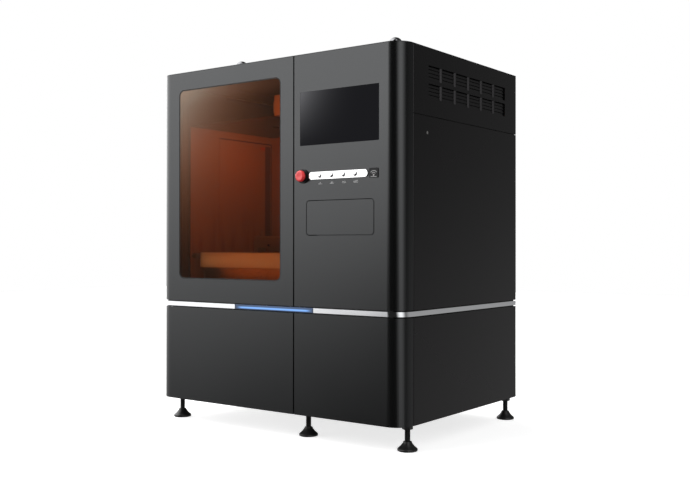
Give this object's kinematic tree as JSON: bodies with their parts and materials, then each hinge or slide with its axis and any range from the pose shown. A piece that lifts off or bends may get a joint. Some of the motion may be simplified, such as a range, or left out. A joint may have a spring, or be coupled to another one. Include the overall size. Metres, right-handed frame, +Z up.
{
  "type": "resin printer",
  "caption": "Floor-standing laser resin printer: cabinet with amber window door, fold-down keyboard, touch screen, vat, elevator, recoater and scanner.",
  "frame": {"origin": "on the floor under the middle of the machine's bounding box", "axes": "+Z up, front towards -Y, the machine's right-hand side towards +X"},
  "size_m": [1.67, 1.287, 2.0183],
  "materials": {
    "shell_paint": "satin metallic grey paint, fine orange peel",
    "side_paint": "satin dark grey paint",
    "black_paint": "semi-gloss black coating",
    "frame_paint": "matt dark grey powder coat",
    "liner_paint": "satin off-white enamel",
    "chrome_trim": "polished",
    "steel": "brushed",
    "aluminium": "satin anodised",
    "black_plastic": "fine texture",
    "white_plastic": "gloss",
    "red_plastic": "gloss",
    "seal_rubber": "matt",
    "screen_glass": "black glass",
    "amber_glass": "amber tinted, polished",
    "mirror_glass": "front silvered"
  },
  "bodies": {
    "cabinet": {"roof_cover": "shell_paint", "control_fascia": "shell_paint", "left_upper_panel": "side_paint", "left_lower_panel": "side_paint", "left_base_panel": "side_paint", "right_upper_panel": "side_paint", "right_lower_panel": "side_paint", "right_base_panel": "side_paint", "rear_upper_panel": "side_paint", "rear_lower_panel": "side_paint", "electrics_box": "side_paint", "foot_front_left": "black_paint", "foot_front_middle": "black_paint", "foot_front_right": "black_paint", "foot_rear_left": "black_paint", "foot_rear_middle": "black_paint", "foot_rear_right": "black_paint", "panel_computer": "black_paint", "elevator_motor": "black_paint", "exhaust_fan_housing": "black_paint", "welded_frame": "frame_paint", "elevator_column": "frame_paint", "optics_deck": "frame_paint", "chamber_liner": "liner_paint", "chrome_band": "chrome_trim", "roof_cap_left": "chrome_trim", "roof_cap_right": "chrome_trim", "left_hinge_rod": "steel", "right_hinge_rod": "steel", "resin_vat": "steel", "recoater_rail_left": "steel", "recoater_rail_right": "steel", "button_bezel": "aluminium", "laser_unit": "aluminium", "galvo_scanner": "aluminium", "emergency_stop_collar": "black_plastic", "card_reader": "black_plastic", "led_bar": "black_plastic", "power_inlet": "black_plastic", "touch_screen": "screen_glass"},
    "window_door": {"window_door": "shell_paint", "window_pane": "amber_glass", "window_gasket": "seal_rubber"},
    "lower_left_door": {"lower_left_door": "shell_paint"},
    "lower_right_door": {"lower_right_door": "shell_paint"},
    "keyboard_flap": {"keyboard_flap": "shell_paint", "keyboard": "black_plastic"},
    "stop_plunger": {"emergency_stop_plunger": "steel"},
    "stop_head": {"emergency_stop_head": "red_plastic"},
    "elevator": {"elevator_carriage": "aluminium", "build_platform": "steel"},
    "elevator_screw": {"elevator_screw": "steel"},
    "recoater": {"recoater": "aluminium"},
    "cross_mirror": {"galvo_mirror_cross": "mirror_glass"},
    "length_mirror": {"galvo_mirror_length": "mirror_glass"},
    "fan_rotor": {"exhaust_fan_rotor": "black_plastic"},
    "push_button_1": {"push_button_1": "white_plastic"},
    "push_button_2": {"push_button_2": "white_plastic"},
    "push_button_3": {"push_button_3": "white_plastic"},
    "push_button_4": {"push_button_4": "white_plastic"}
  },
  "joints": [
    {"name": "window_door_hinge", "type": "hinge", "parent": "cabinet", "child": "window_door", "pos_m": [-0.8, -0.56, 1.3], "axis": [0, 0, -1], "range_deg": [0, 100]},
    {"name": "lower_left_door_hinge", "type": "hinge", "parent": "cabinet", "child": "lower_left_door", "pos_m": [-0.8, -0.56, 0.4], "axis": [0, 0, -1], "range_deg": [0, 100]},
    {"name": "lower_right_door_hinge", "type": "hinge", "parent": "cabinet", "child": "lower_right_door", "pos_m": [0.8, -0.56, 0.4], "axis": [0, 0, 1], "range_deg": [0, 100]},
    {"name": "keyboard_flap_hinge", "type": "hinge", "parent": "cabinet", "child": "keyboard_flap", "pos_m": [0.461, -0.597, 1.068], "axis": [1, 0, 0], "range_deg": [0, 90]},
    {"name": "emergency_stop_press", "type": "slide", "parent": "cabinet", "child": "stop_plunger", "axis": [0, 1, 0], "range_m": [0, 0.005], "stiffness_N_per_m": 600},
    {"name": "emergency_stop_twist", "type": "hinge", "parent": "stop_plunger", "child": "stop_head", "pos_m": [0.231, -0.63, 1.3535], "axis": [0, 1, 0], "range_deg": [0, 40], "stiffness_Nm_per_rad": 0.05},
    {"name": "push_button_1_press", "type": "slide", "parent": "cabinet", "child": "push_button_1", "axis": [0, 1, 0], "range_m": [0, 0.003], "stiffness_N_per_m": 300},
    {"name": "push_button_2_press", "type": "slide", "parent": "cabinet", "child": "push_button_2", "axis": [0, 1, 0], "range_m": [0, 0.003], "stiffness_N_per_m": 300},
    {"name": "push_button_3_press", "type": "slide", "parent": "cabinet", "child": "push_button_3", "axis": [0, 1, 0], "range_m": [0, 0.003], "stiffness_N_per_m": 300},
    {"name": "push_button_4_press", "type": "slide", "parent": "cabinet", "child": "push_button_4", "axis": [0, 1, 0], "range_m": [0, 0.003], "stiffness_N_per_m": 300},
    {"name": "elevator_travel", "type": "slide", "parent": "cabinet", "child": "elevator", "axis": [0, 0, 1], "range_m": [-0.4, 0.02]},
    {"name": "elevator_screw_turn", "type": "hinge", "parent": "cabinet", "child": "elevator_screw", "pos_m": [-0.32, 0.326, 1], "axis": [0, 0, 1], "range_deg": [-14405, 725]},
    {"name": "recoater_travel", "type": "slide", "parent": "cabinet", "child": "recoater", "axis": [0, -1, 0], "range_m": [0, 0.515]},
    {"name": "galvo_cross_tilt", "type": "hinge", "parent": "cabinet", "child": "cross_mirror", "pos_m": [-0.32, 0, 1.78], "axis": [0, 1, 0], "range_deg": [-12, 12], "stiffness_Nm_per_rad": 0.5},
    {"name": "galvo_length_tilt", "type": "hinge", "parent": "cabinet", "child": "length_mirror", "pos_m": [-0.34, -0.105, 1.81], "axis": [1, 0, 0], "range_deg": [-12, 12], "stiffness_Nm_per_rad": 0.5},
    {"name": "exhaust_fan_spin", "type": "hinge", "parent": "cabinet", "child": "fan_rotor", "pos_m": [0.5, 0.62, 1.78], "axis": [0, 1, 0], "continuous": true}
  ],
  "couplings": [
    {"joint": "elevator_screw_turn", "follows": "elevator_travel", "rad_per_m": 628.32}
  ]
}
